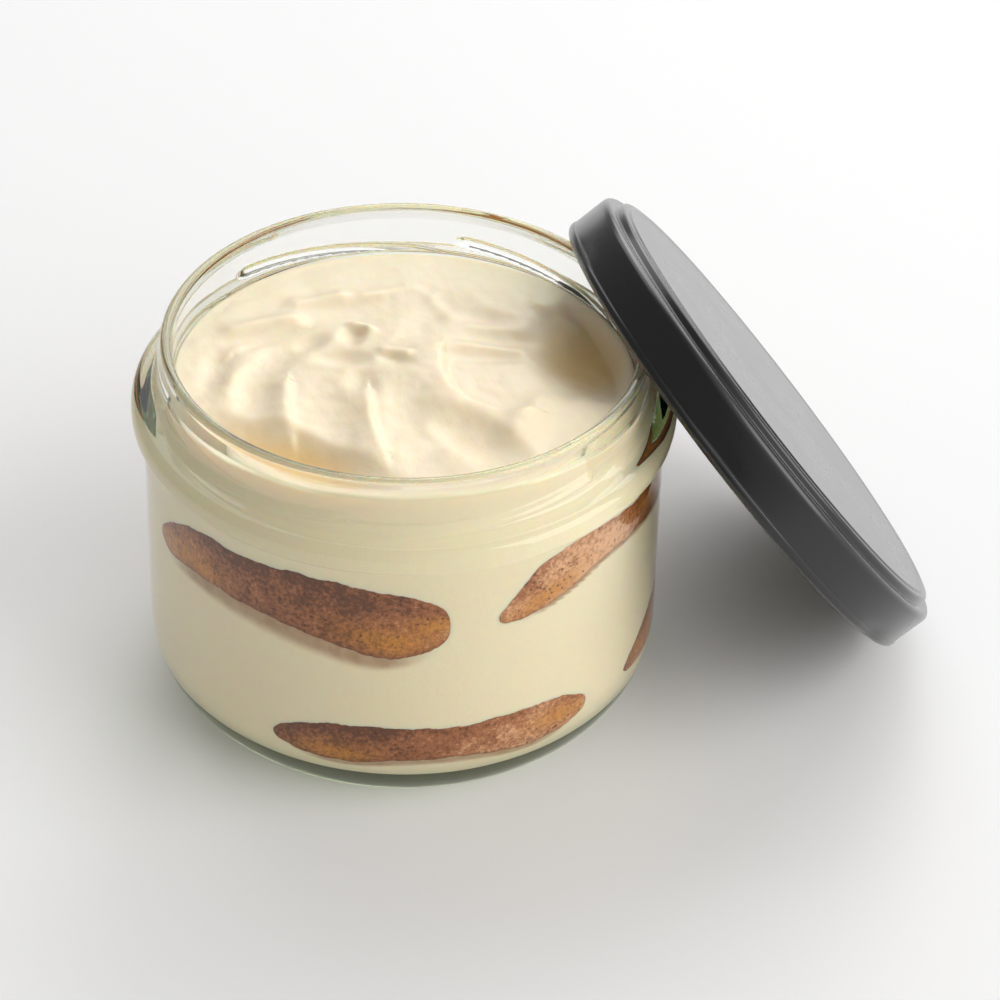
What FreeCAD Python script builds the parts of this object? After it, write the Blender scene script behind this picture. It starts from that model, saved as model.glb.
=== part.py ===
"""Jar of tiramisu: a squat twist-off glass jar filled with mascarpone cream and two layers of
ladyfingers, with its pressed metal lug cap leaning on the rim.

Millimetres, +Z up. The jar is built round its own axis with its base on Z = 0, the cap leans
towards +X, and at the end everything is moved so that the origin is the middle of the whole
object's footprint, on the surface that it stands on.
"""
import FreeCAD
import Part
import math
import os

from FreeCAD import Vector

# ---------------------------------------------------------------- driving dimensions
# glass jar, outside
JAR_HEIGHT = 64.7
BASE_RADIUS = 42.2            # where the wall meets the heel
WALL_TAPER = 0.9              # the wall draws in this much on its way up to the bead
HEEL_RADIUS = 12.0
RING_WIDTH = 3.0              # bearing ring, from the heel to the hollow of the base
RING_ROUND = 1.0
PUSH_UP = 2.1                 # height of the hollow under the base
PUSH_UP_CROWN = 0.6           # how much higher the hollow is in its middle than at its edge
PUSH_UP_SLOPE = 3.0           # width of the slope round the hollow

# glass jar, inside
WALL = 2.4
FLOOR = 6.2                   # glass under the contents, at the edge of the floor
FLOOR_CROWN = 0.6             # how much higher the floor is in its middle
INNER_HEEL_RADIUS = 8.0
DRAW_IN_DROP = 15.15          # the inside starts to draw in this far below the lip
NECK_DROP = 9.0               # and is straight again from here up
DRAW_IN_ROUND = 5.0
NECK_WALL = 2.4

# transfer bead and neck finish, all hung from the lip
BEAD_PROUD = 1.8              # bead over the wall under it
BEAD_DROP = 9.75              # top of the bead below the lip
BEAD_HEIGHT = 5.0
BEAD_FLANK = 1.4              # height of the bead's sloping underside
BEAD_FOOT_ROUND = 0.9
BEAD_FLANK_ROUND = 1.6
BEAD_ROUND = 2.0
SHELF_RISE = 0.15             # the bead's top rises this much towards the neck
SHELF_ROUND = 0.9
NECK_STEP = 2.7               # neck inside the wall under the bead
LIP_STEP = 0.5                # lip inside the neck
LIP_HEIGHT = 1.4
LIP_TAPER = 1.8               # height over which the neck narrows to the lip
LIP_WALL = 1.8

# twist-off threads on the neck
THREAD_STARTS = 6
THREAD_FIRST_DEG = 3.0        # where the first thread has its upper end
THREAD_SPAN_DEG = 67.0
THREAD_TOP_DROP = 6.8         # centre line of the upper end below the lip
THREAD_FALL = 3.7
THREAD_PROUD = 1.2
THREAD_ROOT = 0.6             # sunk into the neck
THREAD_WIDTH = 1.7
THREAD_SIZES = (              # share of the way along the thread, and its size there
    (0.0, 0.35), (0.03, 0.8), (0.1, 1.0), (0.5, 1.0), (0.85, 0.85), (1.0, 0.3))

# cap
CAP_CLEARANCE = 2.0           # between the threads and the curl when the cap is on
CAP_HEIGHT = 10.3
CAP_SHEET = 0.3
CURL_RADIUS = 1.1
SKIRT_INSET = 0.15            # skirt inside the curl's widest part
SHOULDER_DROP = 1.55          # shoulder of the cap below its panel
SHOULDER_WIDTH = 2.8
SHOULDER_FALL = 0.12          # the shoulder falls this much towards the step
SHOULDER_ROUND = 1.3
STEP_WIDTH = 1.5              # between the shoulder and the panel
STEP_SLOPE = 0.35
STEP_DROP = 0.3               # step below the panel's rim
RIM_SLOPE = 0.45
PANEL_RIM = 0.15              # the panel's rim stands this much above its middle
PANEL_RIM_WIDTH = 1.6
PANEL_BEND = 2.0
BEND_OUT = 0.7                # outside radius of a raised bend in the sheet
BEND_IN = 0.4                 # outside radius of a hollow bend
CAP_LUGS = 6
CAP_FIRST_LUG_DEG = -10.0     # from the lowest point of the leaning cap
LUG_CLEARANCE = 0.4           # between a lug and the neck when the cap is on
LUG_THICKNESS = 1.2
LUG_EDGE_ROUND = 0.35
LUG_ROUND = 6.0               # radius of a lug's inner end, seen from above
DENT_DEPTH = 0.35             # the curl is pressed in outside each lug
DENT_ROUND = 3.0
SEAL_WIDTH = 3.8
SEAL_THICKNESS = 0.8
SEAL_EDGE_ROUND = 0.3

# how the cap leans
CURL_OVER_LIP = 5.48          # highest point of the curl above the lip
REST_GAP = 0.15               # between the curl and the lip that it rests on
REST_HALVINGS = 30

# contents
CONTENT_GAP = 0.1             # contents to glass
POCKET_GAP = 0.1              # ladyfinger to cream
HEAD_SPACE = 7.1              # mean level of the cream at the glass, below the lip
CREAM_TILT = 2.4              # the cream stands this much higher on the filling side
FILL_SIDE_DEG = -105.0        # direction in which the cream stands highest
CREAM_GRID = 29               # heights along each side of the cream's surface
MOUND_HEIGHT = 1.2
MOUND_RADIUS = 20.0

# ladyfingers
LOWER_LAYER_RISE = 9.0        # middle of the lower layer above the floor
UPPER_LAYER_DROP = 17.0       # middle of the upper layer below the cream's level
BISCUIT_DEPTH = 22.0          # from the glass inwards
BISCUIT_PRESS = 1.0           # flattened this much against the glass
BISCUIT_SHARES = (0.012, 0.05, 0.14, 0.3, 0.5, 0.7, 0.86, 0.95, 0.988)
BISCUIT_POINTS = 16           # round each cross-section
FLAT_OUT = 0.45               # exponents of the rounded oblong cross-section
FLAT_UP = 0.55
TIP_OUT = (9.0, 0.25)         # exponents that draw the tips in, across and in height
TIP_UP = (7.0, 1.0 / 3.0)

# name: layer, start and end angle, heights from the layer's middle at start, middle and end,
# thicknesses at the same places
BISCUITS = {
    "biscuit_upper_left": ("upper", -171.0, -94.0, (-2.2, 0.7, -2.6), (13.0, 11.6, 15.6)),
    "biscuit_upper_right": ("upper", -84.0, -8.0, (-1.6, 4.0, 1.8), (11.0, 11.6, 10.4)),
    "biscuit_upper_back_right": ("upper", 3.0, 80.0, (1.0, -0.4, 0.8), (12.6, 11.4, 13.4)),
    "biscuit_upper_back_left": ("upper", 92.0, 166.0, (-0.2, 1.2, 0.2), (13.8, 11.8, 12.6)),
    "biscuit_lower_front": ("lower", -136.0, -59.0, (-1.0, 0.1, -1.2), (11.6, 9.8, 12.2)),
    "biscuit_lower_right": ("lower", -46.0, 29.0, (-0.4, 1.0, -0.2), (11.8, 10.6, 12.0)),
    "biscuit_lower_back": ("lower", 41.0, 102.0, (0.2, -0.6, 0.4), (12.0, 10.4, 11.4)),
    "biscuit_lower_left": ("lower", 113.0, 166.0, (-0.2, 0.6, -0.2), (11.4, 10.0, 12.0)),
}

# spoon strokes over the cream: start x, y, end x, y, half width, height (below 0 is a groove)
STROKES = (
    (-31.0, 4.0, -26.0, -14.0, 4.5, -1.6),
    (-26.0, -14.0, -6.0, -27.0, 4.5, -2.0),
    (-20.0, 8.0, -21.0, -6.0, 6.5, 0.9),
    (-14.0, -2.0, -15.0, -15.0, 3.2, -0.8),
    (-8.0, -2.0, -9.0, -19.0, 4.5, 0.8),
    (1.0, 4.0, -1.0, -20.0, 3.6, -0.7),
    (6.0, 0.0, 6.0, -11.0, 2.6, 0.7),
    (6.5, -12.0, 15.0, -17.0, 2.6, 0.7),
    (13.0, -6.0, 24.0, -10.0, 5.5, 0.8),
    (13.0, 5.6, 29.0, 2.4, 2.2, -1.4),
    (7.0, 3.4, 21.0, 0.0, 1.9, -1.0),
    (-9.0, 14.5, 3.0, 7.0, 3.0, 1.0),
    (-16.0, 17.0, 10.0, 22.0, 5.0, 0.6),
)

# ---------------------------------------------------------------- sizes that follow
SHOULDER_RADIUS = BASE_RADIUS - WALL_TAPER
BEAD_RADIUS = SHOULDER_RADIUS + BEAD_PROUD
NECK_RADIUS = SHOULDER_RADIUS - NECK_STEP
NECK_BORE = NECK_RADIUS - NECK_WALL
LIP_RADIUS = NECK_RADIUS - LIP_STEP
RING_RADIUS = BASE_RADIUS - HEEL_RADIUS - RING_WIDTH
BEAD_TOP = JAR_HEIGHT - BEAD_DROP
THREAD_TOP = JAR_HEIGHT - THREAD_TOP_DROP
CREAM_LEVEL = JAR_HEIGHT - HEAD_SPACE
LAYER_LEVELS = {"lower": FLOOR + LOWER_LAYER_RISE, "upper": CREAM_LEVEL - UPPER_LAYER_DROP}

CAP_RADIUS = NECK_RADIUS + THREAD_PROUD + CAP_CLEARANCE + 2.0 * CURL_RADIUS
CURL_CENTRE = CAP_RADIUS - CURL_RADIUS
STEP_RADIUS = CAP_RADIUS - SHOULDER_WIDTH
PANEL_RADIUS = STEP_RADIUS - STEP_WIDTH
SEAL_RADIUS = LIP_RADIUS - LIP_WALL / 2.0 + SEAL_WIDTH / 2.0
LEAN_SINE = (JAR_HEIGHT + CURL_OVER_LIP - 2.0 * CURL_RADIUS) / (2.0 * CURL_CENTRE)
LEAN_DEG = math.degrees(math.asin(LEAN_SINE))


# ---------------------------------------------------------------- shared helpers
def polar(radius, degrees, z=0.0):
    """Point at a radius and an angle about the Z axis."""
    angle = math.radians(degrees)
    return Vector(radius * math.cos(angle), radius * math.sin(angle), z)


def rounded_edges(corners):
    """Edges through corners (r, z, rounding) in the XZ plane, each corner an arc."""
    points = [Vector(r, 0.0, z) for r, z, _ in corners]
    edges = []
    last = points[0]
    for index in range(1, len(points) - 1):
        corner, rounding = points[index], corners[index][2]
        back = (points[index - 1] - corner).normalize()
        ahead = (points[index + 1] - corner).normalize()
        half = back.getAngle(ahead) / 2.0
        if rounding <= 0.0 or half > math.radians(89.5):
            edges.append(Part.makeLine(last, corner))
            last = corner
            continue
        run = rounding / math.tan(half)
        centre = corner + (back + ahead).normalize() * (rounding / math.sin(half))
        middle = centre + (corner - centre).normalize() * rounding
        start, end = corner + back * run, corner + ahead * run
        if (start - last).Length > 1e-6:
            edges.append(Part.makeLine(last, start))
        edges.append(Part.Arc(start, middle, end).toShape())
        last = end
    edges.append(Part.makeLine(last, points[-1]))
    return edges


def revolved(edges):
    """Solid turned about the Z axis from a closed set of edges."""
    face = Part.Face(Part.Wire(Part.__sortEdges__(edges)))
    return face.revolve(Vector(0, 0, 0), Vector(0, 0, 1), 360.0)


def solid_of(shape):
    """The one solid that a shape holds, with split faces joined again."""
    solid = shape.Solids[0] if len(shape.Solids) == 1 else shape
    return solid.removeSplitter()


def through_three(values, centred):
    """Value at a place from -1 to 1 of the parabola through a start, middle and end value."""
    start, middle, end = values
    return middle + (end - start) / 2.0 * centred + ((start + end) / 2.0 - middle) * centred ** 2


# ---------------------------------------------------------------- glass jar
def interior_corners(gap):
    """Corners of the space inside the jar, from the axis at the floor up to the neck."""
    return [
        (0.0, FLOOR + FLOOR_CROWN + gap, 0.0),
        (BASE_RADIUS - WALL - gap, FLOOR + gap, INNER_HEEL_RADIUS),
        (SHOULDER_RADIUS - WALL - gap, JAR_HEIGHT - DRAW_IN_DROP, DRAW_IN_ROUND),
        (NECK_BORE - gap, JAR_HEIGHT - NECK_DROP, DRAW_IN_ROUND),
    ]


def jar_glass():
    """The jar: base, wall, transfer bead and neck turned in one piece, threads added."""
    bead_foot = BEAD_TOP - BEAD_HEIGHT
    lip_foot = JAR_HEIGHT - LIP_HEIGHT
    lip_round = 0.49 * LIP_WALL
    outside = [
        (0.0, PUSH_UP, 0.0),
        (RING_RADIUS - PUSH_UP_SLOPE, PUSH_UP - PUSH_UP_CROWN, PUSH_UP_SLOPE),
        (RING_RADIUS, 0.0, RING_ROUND),
        (BASE_RADIUS, 0.0, HEEL_RADIUS),
        (SHOULDER_RADIUS, bead_foot, BEAD_FOOT_ROUND),
        (BEAD_RADIUS, bead_foot + BEAD_FLANK, BEAD_FLANK_ROUND),
        (BEAD_RADIUS, BEAD_TOP, BEAD_ROUND),
        (NECK_RADIUS, BEAD_TOP + SHELF_RISE, SHELF_ROUND),
        (NECK_RADIUS, lip_foot - LIP_TAPER, LIP_TAPER),
        (LIP_RADIUS, lip_foot, LIP_STEP),
        (LIP_RADIUS, JAR_HEIGHT, lip_round),
        (LIP_RADIUS - LIP_WALL, JAR_HEIGHT, lip_round),
    ]
    corners = outside + interior_corners(0.0)[::-1]
    edges = rounded_edges(corners)
    edges.append(Part.makeLine(Vector(0, 0, corners[-1][1]), Vector(0, 0, corners[0][1])))
    body = revolved(edges)
    for number in range(THREAD_STARTS):
        body = body.fuse(thread(THREAD_FIRST_DEG + number * 360.0 / THREAD_STARTS))
    return solid_of(body)


def thread(start_deg):
    """One rib of the twist-off finish: blunt at its upper end, fading out as it descends."""
    sections = []
    for share, size in THREAD_SIZES:
        degrees = start_deg - share * THREAD_SPAN_DEG
        centre_z = THREAD_TOP - share * THREAD_FALL
        proud = THREAD_ROOT + THREAD_PROUD * size
        half = THREAD_WIDTH * (1.0 + size) / 4.0
        outline = [(0.0, -half), (0.75 * proud, -0.72 * half), (proud, 0.0),
                   (0.75 * proud, 0.72 * half), (0.0, half)]
        points = [polar(NECK_RADIUS - THREAD_ROOT + out, degrees, centre_z + up)
                  for out, up in outline]
        curve = Part.BSplineCurve()
        curve.interpolate(points)
        back = Part.makeLine(points[-1], points[0])
        sections.append(Part.Wire([curve.toShape(), back]))
    return Part.makeLoft(sections, True)


# ---------------------------------------------------------------- contents
def interior(gap):
    """Solid that fills the jar up to its lip, a gap clear of the glass."""
    corners = interior_corners(gap)
    neck, top = corners[-1][0], JAR_HEIGHT
    edges = rounded_edges(corners + [(neck, top, 0.0), (0.0, top, 0.0)])
    edges.append(Part.makeLine(Vector(0, 0, top), Vector(0, 0, corners[0][1])))
    return revolved(edges)


def stroke_height(x, y, stroke):
    """Height that one spoon stroke adds at a point: a soft ridge or groove along a line."""
    x0, y0, x1, y1, half_width, height = stroke
    dx, dy = x1 - x0, y1 - y0
    along = ((x - x0) * dx + (y - y0) * dy) / (dx * dx + dy * dy)
    along = min(1.0, max(0.0, along))
    distance = math.hypot(x - x0 - along * dx, y - y0 - along * dy)
    return height * math.exp(-(distance / half_width) ** 2)


def cream_height(x, y):
    """Height of the cream's spooned surface over a point of the jar."""
    side = polar(1.0, FILL_SIDE_DEG)
    level = CREAM_LEVEL + CREAM_TILT * (x * side.x + y * side.y) / NECK_BORE
    mound = MOUND_HEIGHT * math.exp(-((x * x + y * y) / MOUND_RADIUS ** 2))
    return level + mound + sum(stroke_height(x, y, stroke) for stroke in STROKES)


def cream_surface():
    """Smooth face over the whole jar, through heights on a square grid."""
    step = 2.0 * BASE_RADIUS / (CREAM_GRID - 1)
    marks = [-BASE_RADIUS + step * index for index in range(CREAM_GRID)]
    grid = [[Vector(x, y, cream_height(x, y)) for y in marks] for x in marks]
    surface = Part.BSplineSurface()
    surface.interpolate(grid)
    return surface.toShape()


def drawn_in(centred, powers):
    """Size of a ladyfinger at a place from -1 to 1, as a share: full along it, round at its tips."""
    bluntness, roundness = powers
    return (1.0 - abs(centred) ** bluntness) ** roundness


def ladyfinger(name, grow=0.0):
    """A soaked ladyfinger bent round the wall; grow makes the pocket that it lies in."""
    layer, start_deg, end_deg, heights, thicknesses = BISCUITS[name]
    middle_radius = BASE_RADIUS - WALL + BISCUIT_PRESS - BISCUIT_DEPTH / 2.0
    sections = []
    for share in BISCUIT_SHARES:
        centred = 2.0 * share - 1.0
        degrees = start_deg + share * (end_deg - start_deg)
        z = LAYER_LEVELS[layer] + through_three(heights, centred)
        half_z = through_three(thicknesses, centred) / 2.0 * drawn_in(centred, TIP_UP) + grow
        half_r = BISCUIT_DEPTH / 2.0 * drawn_in(centred, TIP_OUT) + grow
        points = []
        for number in range(BISCUIT_POINTS):
            turn = 2.0 * math.pi * number / BISCUIT_POINTS
            cosine, sine = math.cos(turn), math.sin(turn)
            out = math.copysign(abs(cosine) ** FLAT_OUT, cosine) * half_r
            up = math.copysign(abs(sine) ** FLAT_UP, sine) * half_z
            points.append(polar(middle_radius + out, degrees, z + up))
        curve = Part.BSplineCurve()
        curve.interpolate(points, PeriodicFlag=True)
        sections.append(Part.Wire(curve.toShape()))
    return Part.makeLoft(sections, True)


def contents():
    """The cream with a pocket for each ladyfinger, and the ladyfingers themselves."""
    space = interior(CONTENT_GAP)
    below = cream_surface().extrude(Vector(0, 0, -2.0 * JAR_HEIGHT))
    cream = space.common(below)
    pieces = {}
    for name in BISCUITS:
        pieces[name] = solid_of(ladyfinger(name).common(space))
        cream = cream.cut(ladyfinger(name, POCKET_GAP))
    pieces["cream"] = solid_of(cream)
    return pieces


# ---------------------------------------------------------------- cap
def cap_profile(shift=0.0):
    """Corners of the cap's sheet from the curl to the axis, moved inwards by shift."""
    skirt = CAP_RADIUS - SKIRT_INSET - shift
    shoulder = CAP_HEIGHT - SHOULDER_DROP - shift
    rim = CAP_HEIGHT - shift
    return [
        (skirt, CURL_RADIUS, 0.0),
        (skirt, shoulder, SHOULDER_ROUND - shift),
        (STEP_RADIUS + STEP_SLOPE - shift, shoulder - SHOULDER_FALL, BEND_IN + shift),
        (STEP_RADIUS - shift, rim - STEP_DROP, BEND_OUT - shift),
        (PANEL_RADIUS + RIM_SLOPE - shift, rim - STEP_DROP, BEND_IN + shift),
        (PANEL_RADIUS - shift, rim, BEND_OUT - shift),
        (PANEL_RADIUS - PANEL_RIM_WIDTH, rim - PANEL_RIM, PANEL_BEND),
        (0.0, rim - PANEL_RIM, 0.0),
    ]


def cap_shell():
    """The pressed sheet: skirt, shoulder, step and panel as one thin turned shell."""
    outside, inside = cap_profile(), cap_profile(CAP_SHEET)
    edges = rounded_edges(outside) + rounded_edges(inside)
    for first, second in ((outside[0], inside[0]), (outside[-1], inside[-1])):
        edges.append(Part.makeLine(Vector(first[0], 0, first[1]), Vector(second[0], 0, second[1])))
    return revolved(edges)


def cap():
    """The cap with its rolled curl and the lugs that are pressed out of the curl."""
    curl = Part.makeTorus(CURL_CENTRE, CURL_RADIUS, Vector(0, 0, CURL_RADIUS))
    shape = cap_shell().fuse(curl)
    inside_curl = Part.makeCylinder(CURL_CENTRE, LUG_THICKNESS)
    lug_centre = NECK_RADIUS + LUG_CLEARANCE + LUG_ROUND
    dent_centre = CAP_RADIUS - DENT_DEPTH + DENT_ROUND
    for number in range(CAP_LUGS):
        degrees = CAP_FIRST_LUG_DEG + number * 360.0 / CAP_LUGS
        plate = Part.makeCylinder(LUG_ROUND, LUG_THICKNESS, polar(lug_centre, degrees))
        rims = [edge for edge in plate.Edges if isinstance(edge.Curve, Part.Circle)]
        lug = plate.makeFillet(LUG_EDGE_ROUND, rims).common(inside_curl)
        along = polar(2.0 * LUG_ROUND, degrees + 90.0)
        dent = Part.makeCylinder(
            DENT_ROUND, 2.0 * along.Length, polar(dent_centre, degrees, CURL_RADIUS) - along, along)
        shape = shape.fuse(lug).cut(dent)
    return solid_of(shape)


def cap_seal():
    """Ring of sealing compound under the panel's edge, where the jar's lip presses."""
    top = CAP_HEIGHT - PANEL_RIM - CAP_SHEET
    inner = SEAL_RADIUS - SEAL_WIDTH
    corners = [
        (inner, top, 0.0),
        (inner, top - SEAL_THICKNESS, SEAL_EDGE_ROUND),
        (SEAL_RADIUS, top - SEAL_THICKNESS, SEAL_EDGE_ROUND),
        (SEAL_RADIUS, top, 0.0),
    ]
    edges = rounded_edges(corners)
    edges.append(Part.makeLine(Vector(SEAL_RADIUS, 0, top), Vector(inner, 0, top)))
    return revolved(edges)


def lean_placement(reach):
    """Placement of the leaning cap: its curl on the ground, its axis a reach from the jar's."""
    lean = math.radians(LEAN_DEG)
    height = CURL_CENTRE * math.sin(lean) - CURL_RADIUS * math.cos(lean) + CURL_RADIUS
    turn = FreeCAD.Rotation(Vector(0, 1, 0), LEAN_DEG)
    return FreeCAD.Placement(Vector(reach, 0, height), turn)


def curl_to_lip(reach):
    """Clear distance between the round curl of the leaning cap and the jar's round lip."""
    curl = Part.makeCircle(CURL_CENTRE, Vector(0, 0, CURL_RADIUS))
    curl.Placement = lean_placement(reach)
    lip_round = LIP_WALL / 2.0
    lip = Part.makeCircle(LIP_RADIUS - lip_round, Vector(0, 0, JAR_HEIGHT - lip_round))
    return curl.distToShape(lip)[0] - CURL_RADIUS - lip_round


def resting_reach():
    """Distance between the two axes at which the leaning cap's curl rests on the lip."""
    far = CAP_RADIUS + LIP_RADIUS
    while curl_to_lip(far - 1.0) > REST_GAP:
        far -= 1.0
    near = far - 1.0
    for _ in range(REST_HALVINGS):
        middle = (near + far) / 2.0
        if curl_to_lip(middle) > REST_GAP:
            far = middle
        else:
            near = middle
    return far


# ---------------------------------------------------------------- whole object
def build():
    """All solids by node name, with the origin under the middle of the whole object."""
    nodes = {"jar_glass": jar_glass()}
    nodes.update(contents())
    lean = lean_placement(resting_reach())
    for name, solid in (("lid", cap()), ("lid_seal", cap_seal())):
        solid.Placement = lean.multiply(solid.Placement)
        nodes[name] = solid
    cap_box = nodes["lid"].optimalBoundingBox(False)
    middle = (cap_box.XMax - BEAD_RADIUS) / 2.0
    for solid in nodes.values():
        solid.translate(Vector(-middle, 0, 0))
    return nodes


def main():
    """Write one STEP file for each node and print its size."""
    os.makedirs("parts", exist_ok=True)
    for name, solid in sorted(build().items()):
        solid.exportStep("parts/%s.step" % name)
        box = solid.optimalBoundingBox(False)
        print("%-26s solids %d valid %s volume %.1f box %s" % (
            name, len(solid.Solids), solid.isValid(), solid.Volume,
            [round(value, 2) for value in
             (box.XMin, box.YMin, box.ZMin, box.XMax, box.YMax, box.ZMax)]))


main()
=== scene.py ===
"""Looks of a jar of tiramisu: clear twist-off glass, spooned cream over two layers of ladyfingers,
and a black lug cap that leans on the rim.

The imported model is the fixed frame. Sizes in the classes below are millimetres in the jar's own
axes, with its base on zero, and each mesh is moved to its place in the frame at the end.
"""
import logging
import math
from dataclasses import dataclass, field
from enum import Enum
from typing import Callable, List, Optional, Sequence, Tuple

import bmesh
import bpy
from mathutils import Matrix, Quaternion, Vector, noise

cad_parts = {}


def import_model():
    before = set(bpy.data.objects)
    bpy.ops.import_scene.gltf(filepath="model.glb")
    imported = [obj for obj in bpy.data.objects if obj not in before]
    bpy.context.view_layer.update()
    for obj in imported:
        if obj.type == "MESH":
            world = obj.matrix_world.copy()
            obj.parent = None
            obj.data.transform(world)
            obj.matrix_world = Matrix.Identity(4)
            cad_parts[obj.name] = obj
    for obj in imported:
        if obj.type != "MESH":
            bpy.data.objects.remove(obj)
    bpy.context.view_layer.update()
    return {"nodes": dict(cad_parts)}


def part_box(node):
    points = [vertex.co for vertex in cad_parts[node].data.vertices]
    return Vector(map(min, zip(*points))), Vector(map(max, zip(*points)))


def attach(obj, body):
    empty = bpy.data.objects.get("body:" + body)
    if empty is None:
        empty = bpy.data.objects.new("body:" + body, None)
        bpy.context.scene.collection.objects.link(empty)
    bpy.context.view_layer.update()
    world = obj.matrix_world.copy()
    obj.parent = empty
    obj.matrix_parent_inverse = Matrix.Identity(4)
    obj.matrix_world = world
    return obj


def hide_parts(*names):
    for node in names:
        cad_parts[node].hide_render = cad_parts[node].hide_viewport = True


LOG = logging.getLogger("tiramisu")
MM = 0.001
BODY = "root"
GLASS_RADIUS = 39.0  # radius at which lengths along the inside of the glass are reckoned
Colour = Tuple[float, float, float]
Socket = bpy.types.NodeSocket


# ---- numbers and outlines
def smooth_step(low: float, high: float, value: float) -> float:
    """Soft step: 0 up to low, 1 from high on, and a smooth rise between them."""
    share = min(1.0, max(0.0, (value - low) / (high - low)))
    return share * share * (3.0 - 2.0 * share)


def bell(distance: float, width: float) -> float:
    """Bell curve that is 1 at no distance and falls off over a width."""
    return math.exp(-((distance / width) ** 2))


def turn_between(first: float, second: float) -> float:
    """Smallest turn from one angle to another, in degrees from -180 to 180."""
    return (second - first + 180.0) % 360.0 - 180.0


def along_values(values: Sequence[float], share: float) -> float:
    """Value at a place from 0 to 1 along a smooth curve through evenly spaced values."""
    place = min(max(share, 0.0), 1.0) * (len(values) - 1)
    index = min(int(place), len(values) - 2)
    rest = place - index
    before = values[max(index - 1, 0)]
    start, end = values[index], values[index + 1]
    after = values[min(index + 2, len(values) - 1)]
    rise_in, rise_out = (end - before) / 2.0, (after - start) / 2.0
    square, cube = rest * rest, rest * rest * rest
    return (
        (2.0 * cube - 3.0 * square + 1.0) * start
        + (cube - 2.0 * square + rest) * rise_in
        + (3.0 * square - 2.0 * cube) * end
        + (cube - square) * rise_out
    )


@dataclass(frozen=True)
class Corner:
    """One corner of a turned outline: its radius, its height and how much it is rounded."""

    radius: float
    height: float
    rounding: float = 0.0

    def point(self) -> Vector:
        """The corner in the plane that is turned, in millimetres."""
        return Vector((self.radius, 0.0, self.height))


def outline_mesh(
    corners: Sequence[Corner],
    closed: bool,
    spacing: Callable[[Vector], float],
    arc_steps: int = 8,
) -> bmesh.types.BMesh:
    """Wire of a turned outline, with its corners rounded and its long edges divided.

    Args:
        corners: Corners in order, in millimetres.
        closed: Whether the last corner joins the first.
        spacing: Longest edge wanted at a point, in millimetres.
        arc_steps: Edges in each rounded corner.

    Returns:
        A mesh of edges in the XZ plane, in millimetres.
    """
    bm = bmesh.new()
    verts = [bm.verts.new(corner.point()) for corner in corners]
    pairs = list(zip(verts, verts[1:]))
    if closed:
        pairs.append((verts[-1], verts[0]))
    for first, second in pairs:
        bm.edges.new((first, second))
    runs = []
    for index, corner in enumerate(corners):
        back = (corners[index - 1].point() - corner.point()).normalized()
        ahead = (corners[(index + 1) % len(corners)].point() - corner.point()).normalized()
        runs.append(corner.rounding / math.tan(back.angle(ahead) / 2.0) if corner.rounding else 0.0)
    for vert, run in zip(verts, runs):
        if run:
            bmesh.ops.bevel(bm, geom=[vert], offset=run, offset_type="OFFSET", segments=arc_steps,
                            profile=0.5, affect="VERTICES", material=-1)
    for edge in list(bm.edges):
        middle = (edge.verts[0].co + edge.verts[1].co) / 2.0
        cuts = int(edge.calc_length() / spacing(middle))
        if cuts:
            bmesh.ops.subdivide_edges(bm, edges=[edge], cuts=cuts)
    return bm


def turn_outline(bm: bmesh.types.BMesh, steps: int) -> None:
    """Turns a wire all the way round the Z axis, in steps that eight divides, and joins its poles.

    An eighth is turned and then copied round, which is far quicker than one long spin.
    """
    eighth = math.tau / 8.0
    bmesh.ops.spin(bm, geom=bm.verts[:] + bm.edges[:], axis=(0, 0, 1), cent=(0, 0, 0),
                   angle=eighth, steps=steps // 8, use_merge=False)
    for doubling in range(3):
        made = bmesh.ops.duplicate(bm, geom=bm.verts[:] + bm.edges[:] + bm.faces[:])
        verts = [item for item in made["geom"] if isinstance(item, bmesh.types.BMVert)]
        turn = Matrix.Rotation(eighth * 2 ** doubling, 3, "Z")
        bmesh.ops.rotate(bm, cent=(0, 0, 0), matrix=turn, verts=verts)
    bmesh.ops.remove_doubles(bm, verts=bm.verts, dist=1e-3)
    bmesh.ops.recalc_face_normals(bm, faces=bm.faces)


def new_object(name: str, data: bpy.types.ID) -> bpy.types.Object:
    """A new object of the scene, at the origin."""
    made = bpy.data.objects.new(name, data)
    bpy.context.scene.collection.objects.link(made)
    return made


def new_mesh(name: str, bm: bmesh.types.BMesh, material: bpy.types.Material) -> bpy.types.Mesh:
    """A finished mesh with its one material; the working mesh is freed."""
    mesh = bpy.data.meshes.new(name)
    bm.to_mesh(mesh)
    bm.free()
    mesh.materials.append(material)
    return mesh


def finished(
    bm: bmesh.types.BMesh,
    name: str,
    material: bpy.types.Material,
    place: Matrix,
    nodes: Sequence[str],
) -> bpy.types.Object:
    """Makes a mesh a piece of the object, in metres and in its place.

    Args:
        bm: The finished mesh, in millimetres.
        name: Name of the new piece.
        material: Its finish.
        place: Where the piece's own axes lie in the frame, in metres.
        nodes: CAD nodes that it stands for.

    Returns:
        The new object, at the origin, riding on the object's one body.
    """
    bmesh.ops.scale(bm, vec=(MM, MM, MM), verts=bm.verts)
    bmesh.ops.transform(bm, matrix=place, verts=bm.verts)
    for face in bm.faces:
        face.smooth = True
    mesh = new_mesh(name, bm, material)
    piece = new_object(name, mesh)
    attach(piece, BODY)
    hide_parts(*nodes)
    LOG.info("%s: %d faces for %s", name, len(mesh.polygons), ", ".join(nodes))
    return piece


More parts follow.
